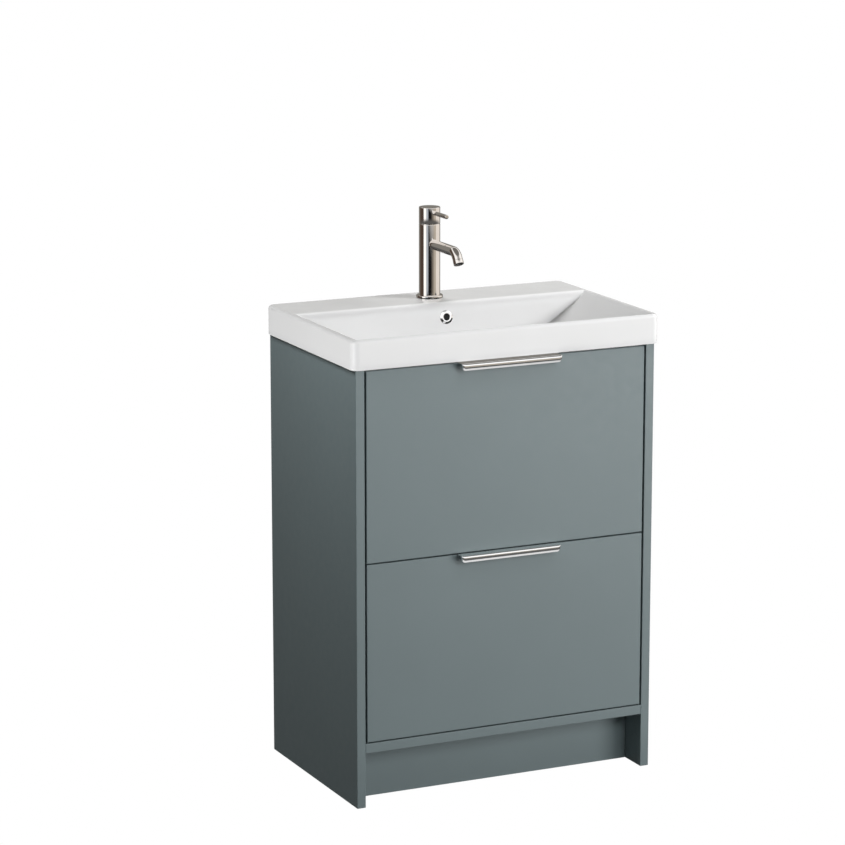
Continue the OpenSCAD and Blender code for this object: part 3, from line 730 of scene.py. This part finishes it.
def handle(node, name, body):
    """A bent chrome bar: plate over the front's edge, rounded lip, flange behind."""
    low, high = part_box(node)
    half = high.x / MM
    top = high.z / MM
    lip_y = low.y / MM
    flange_foot = low.z / MM
    inner_y = high.y / MM
    plate, lip_t, flange_t = 1.5, 3.6, 1.5
    lip_foot = top - 13.4
    corner = 7.0                             # rounding of the lip's lower corners, seen from the front
    plan = 3.0                               # rounding of its ends, seen from above

    def sag(from_end, radius):
        """How far a round corner has moved in at a distance from the end."""
        t = min(from_end / radius, 1)
        return radius * (1 - math.sqrt(1 - (1 - t)**2))

    def section(from_end):
        """Profile as (y, z) at a distance from the nearer end."""
        y = lip_y + sag(from_end, plan)
        foot = lip_foot + min(sag(from_end, corner), 6)
        outline = [(inner_y, top, 0.7), (y, top, 5.0), (y + 0.3, foot + 4.9, 4), (y + 1.4, foot + 1.4, 2),
                   (y + 2.7, foot, 0.8), (y + lip_t, foot, 0.3),
                   (y + lip_t, top - plate, 1.2), (inner_y - flange_t, top - plate, 0.2),
                   (inner_y - flange_t, flange_foot, 0.5), (inner_y, flange_foot, 0.5)]
        return rounded(outline, closed=True)

    ends = [corner * (1 - math.cos(math.radians(a))) for a in range(0, 91, 10)] + [9, 12]
    stations = sorted([-half + e for e in ends] + [half - e for e in ends]
                      + list(np.linspace(-half + 20, half - 20, 9)))
    rings = []
    for x in stations:
        rings.append([Vector((x, y, z)) * MM for y, z in section(half - abs(x))])
    points, faces = stitch(rings)
    count = len(rings[0])
    faces.append(tuple(range(count)))
    faces.append(tuple(range(len(points) - count, len(points))))
    piece = mesh_object(name, points, faces, "polished_chrome", body, [node])
    bevel = piece.modifiers.new("bevel", "BEVEL")
    bevel.width = 0.0005
    bevel.segments = 2
    bevel.limit_method = "ANGLE"
    bevel.angle_limit = math.radians(50)


# ---------------------------------------------------------------------------
# Floor, light and surroundings
# ---------------------------------------------------------------------------

# name: (place, target, size, watts, seen in satin, what it lights)
LAMPS = {
    "satin_right": ((2.0, -3.0, 0.55), (0, 0, 0.7), 1.8, 62, True, "cabinet"),
    "front_soft": ((0.5, -3.2, 1.9), (0, 0, 0.3), 0.9, 32, False, "cabinet"),
    "top_front": ((0.4, -1.5, 2.7), (0.1, 0, 0.5), 0.9, 11, False, "cabinet"),
    "side_left": ((-0.9, -0.16, 1.5), (-0.3, 0, 0.5), 0.5, 9.5, False, "cabinet"),
    "basin_right": ((3.0, -2.0, 2.5), (0, 0, 0.6), 1.3, 154, False, "basin"),
    "basin_low": ((0.8, -3.3, 0.5), (0, 0, 0.8), 1.3, 40, False, "basin"),
    "basin_back": ((0.3, 1.6, 2.6), (0, 0, 0.8), 1.3, 57, False, "basin"),
    "basin_low_left": ((-2.6, -0.6, 0.4), (0, 0, 0.8), 1.3, 61, False, "basin"),
    "rear": ((0.2, 3.4, 1.6), (0, 0, 0.5), 1.6, 60, False, "cabinet"),
    "right": ((3.2, 0.6, 1.8), (0, 0, 0.5), 1.3, 30, False, "cabinet"),
}
AMBIENT = 0.07


def lamp(name, place, target, size, watts, in_satin, lights):
    """A square soft box that lights either the basin or everything else."""
    data = bpy.data.lights.new(name, "AREA")
    data.size, data.energy = size, watts
    light = bpy.data.objects.new(name, data)
    light.location = place
    light.rotation_euler = (Vector(target) - Vector(place)).to_track_quat("-Z", "Y").to_euler()
    light.visible_glossy = in_satin
    light.visible_camera = False
    light.light_linking.receiver_collection = RECEIVERS[lights]
    bpy.context.scene.collection.objects.link(light)


def sort_receivers():
    """The white basin is lit apart from the lacquered boards; polished metal by the cards alone."""
    for piece in bpy.context.scene.objects:
        if piece.type != "MESH" or piece.name not in bpy.context.view_layer.objects:
            continue
        made_of = piece.data.materials[0].name if piece.data.materials else ""
        if piece.name.startswith(("basin", "overflow", "waste")):
            RECEIVERS["basin"].objects.link(piece)
        elif not made_of.startswith(("chrome", "nickel")):
            RECEIVERS["cabinet"].objects.link(piece)


FLOOR_RADIUS = 0.9
RECEIVERS = {name: bpy.data.collections.new("lit_" + name) for name in ("cabinet", "basin")}


def floor():
    """A pale round floor; the camera sees it as bright as the backdrop."""
    mesh = bpy.data.meshes.new("floor")
    work = bmesh.new()
    bmesh.ops.create_circle(work, cap_ends=True, segments=128, radius=FLOOR_RADIUS)
    work.to_mesh(mesh)
    work.free()
    s = Shader("floor_paint")
    tree = s.tree
    pale = s.add("Emission", {"Color": (1, 1, 1, 1), "Strength": 1.0})
    grain = s.blend(s.noise(40, detail=3), (0.50, 0.50, 0.50), (0.54, 0.54, 0.54))
    s.set(Base_Color=grain, Roughness=0.7)
    seen = s.add("LightPath").outputs["Is Camera Ray"]
    mix = s.add("MixShader", {0: seen, 1: s.surface.outputs[0], 2: pale.outputs[0]})
    tree.links.new(mix.outputs[0], tree.nodes["Material Output"].inputs["Surface"])
    mesh.materials.append(s.material)
    plane = bpy.data.objects.new("floor", mesh)
    plane.location.z = -0.0005
    plane.visible_glossy = False
    bpy.context.scene.collection.objects.link(plane)


# What polished metal sees round the horizon: (turn from the front in degrees, colour)
STUDIO_RING = [
    (-180, (0.27, 0.26, 0.24)),
    (-151, (0.27, 0.26, 0.24)),
    (-146, (0.10, 0.07, 0.055)),
    (-93, (0.09, 0.065, 0.05)),
    (-89, (1.5, 1.5, 1.5)),
    (-64, (1.4, 1.4, 1.4)),
    (-61, (0.60, 0.66, 0.72)),
    (-40, (0.50, 0.55, 0.62)),
    (-37, (0.008, 0.008, 0.008)),
    (-6, (0.012, 0.012, 0.012)),
    (0, (0.16, 0.14, 0.12)),
    (17, (0.28, 0.25, 0.21)),
    (22, (0.52, 0.47, 0.40)),
    (46, (0.62, 0.56, 0.48)),
    (50, (1.0, 0.94, 0.88)),
    (104, (1.0, 0.94, 0.88)),
    (110, (0.42, 0.40, 0.38)),
    (140, (0.24, 0.23, 0.21)),
    (180, (0.24, 0.23, 0.21)),
]

# What it sees above the ring, straight overhead, and on the floor near by and far off
SOFT_BOX = (1.3, 1.3, 1.3, 1)
CEILING = (0.20, 0.19, 0.18, 1)
NEAR_FLOOR = (0.85, 0.85, 0.85, 1)
FAR_FLOOR = (0.12, 0.12, 0.12, 1)


def surroundings():
    """A white studio to the camera, soft ambient light, and cards for the metal to mirror."""
    world = bpy.data.worlds.new("studio")
    bpy.context.scene.world = world
    world.use_nodes = True
    tree = world.node_tree
    tree.nodes.clear()

    def add(kind, inputs=None, **settings):
        return add_node(tree, kind, inputs, **settings)

    def step(value, start, end, before, after):
        """One colour up to start and another from end on."""
        fac = add("MapRange", {"Value": value, "From Min": start, "From Max": end}).outputs[0]
        return add("Mix", {0: fac, 6: before, 7: after}, data_type="RGBA").outputs[2]

    way = add("SeparateXYZ", {"Vector": add("TexCoord").outputs["Generated"]})
    x, y, z = way.outputs
    minus_y = add("Math", {0: y, 1: -1.0}, operation="MULTIPLY").outputs[0]
    turn = add("Math", {0: x, 1: minus_y}, operation="ARCTAN2").outputs[0]
    along = add("MapRange", {"Value": turn, "From Min": -math.pi, "From Max": math.pi})
    ring = add("ValToRGB", {"Fac": along.outputs[0]})
    stops = ring.color_ramp.elements
    for i, (degrees, colour) in enumerate(STUDIO_RING):
        at = (degrees + 180) / 360
        stop = stops[i] if i < 2 else stops.new(at)
        stop.position = at
        stop.color = (*colour, 1)
    raised = add("Math", {0: minus_y, 1: 0.35, 2: z}, operation="MULTIPLY_ADD").outputs[0]
    sky = step(raised, 0.25, 0.45, ring.outputs[0], SOFT_BOX)
    upper = step(z, 0.68, 0.80, sky, CEILING)
    lower = step(z, -0.68, -0.50, NEAR_FLOOR, FAR_FLOOR)
    seen = step(z, -0.235, -0.19, lower, upper)

    mirror = add("Background", {"Color": seen, "Strength": 1.0})
    ambient = add("Background", {"Color": (0.94, 0.98, 1.0, 1), "Strength": AMBIENT})
    white = add("Background", {"Color": (1, 1, 1, 1), "Strength": 1.0})
    path = add("LightPath")
    soft = add("MixShader", {0: path.outputs["Is Glossy Ray"], 1: ambient.outputs[0],
                             2: mirror.outputs[0]})
    final = add("MixShader", {0: path.outputs["Is Camera Ray"], 1: soft.outputs[0],
                              2: white.outputs[0]})
    add("OutputWorld", {"Surface": final.outputs[0]})


make_camera()
dress_nodes()
soften_boards()
basin()
overflow()
waste()
tap_column()
tap_lever()
tap_spout()
handle("lower_handle", "lower_pull", "lower_drawer")
handle("upper_handle", "upper_pull", "upper_drawer")
floor()
surroundings()
sort_receivers()
for lamp_name, settings in LAMPS.items():
    lamp(lamp_name, *settings)
bpy.context.scene.view_settings.view_transform = "Standard"
